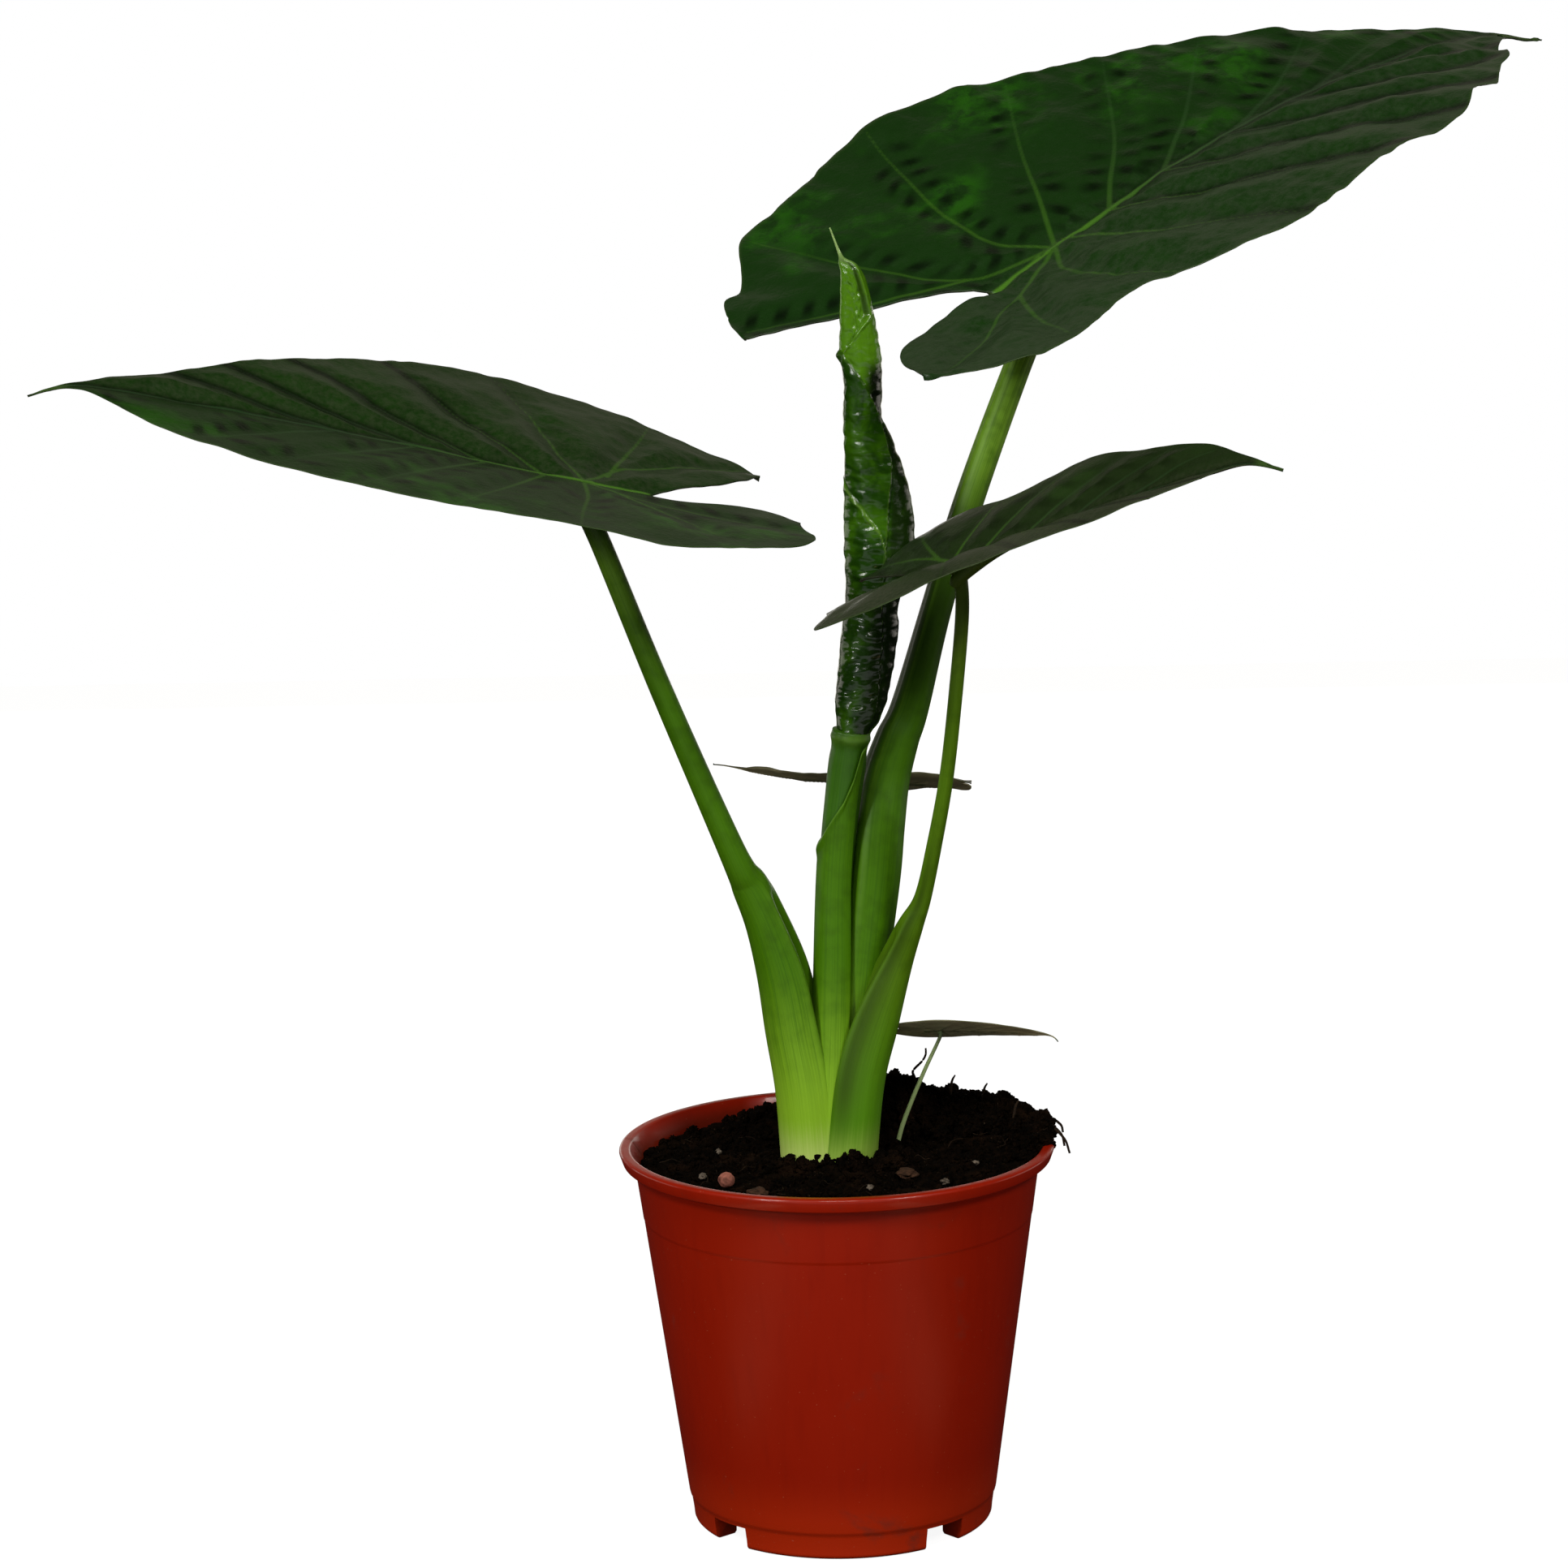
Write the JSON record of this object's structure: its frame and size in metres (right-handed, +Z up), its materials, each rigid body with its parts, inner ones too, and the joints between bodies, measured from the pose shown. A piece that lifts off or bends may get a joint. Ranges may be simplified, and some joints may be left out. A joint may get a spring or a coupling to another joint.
{
  "type": "potted alocasia",
  "caption": "Alocasia houseplant in a round plastic nursery pot: arrow-shaped blades on upright sheathed stems, with a rolled new leaf.",
  "frame": {"origin": "on the pot's axis, on the surface that the pot stands on", "axes": "+Z up along the pot's axis; -Y towards the viewer, with the large blade to the right (+X) and behind (+Y)"},
  "size_m": [0.6429, 0.3888, 0.6382],
  "materials": {
    "pot_plastic": "satin terracotta-red moulded polypropylene with soil smudges",
    "soil": "near-black moist peat, crumbly",
    "corm_skin": "dull brown papery skin, buried",
    "leaf_blade": "dark green satin skin with pale green veins, bronze-grey beneath",
    "leaf_stem": "bright green satin skin, paling to yellow-green at the base",
    "young_leaf": "glossy fresh green, crinkled",
    "clay": "dull baked clay",
    "perlite": "off-white, porous",
    "bark": "dull fibrous brown"
  },
  "bodies": {
    "root": {"pot": "pot_plastic", "potting_soil": "soil", "corm": "corm_skin", "blade_right": "leaf_blade", "blade_left": "leaf_blade", "blade_middle": "leaf_blade", "blade_back": "leaf_blade", "plantlet_blade": "leaf_blade", "petiole_right": "leaf_stem", "petiole_left": "leaf_stem", "petiole_middle": "leaf_stem", "petiole_back": "leaf_stem", "plantlet_petiole": "leaf_stem", "spear_sheath": "leaf_stem", "rolled_leaf": "young_leaf", "clay_pebble": "clay", "perlite_1": "perlite", "perlite_2": "perlite", "perlite_3": "perlite", "perlite_4": "perlite", "perlite_5": "perlite", "bark_chip_1": "bark", "bark_chip_2": "bark", "root_thread": "bark"}
  },
  "joints": []
}
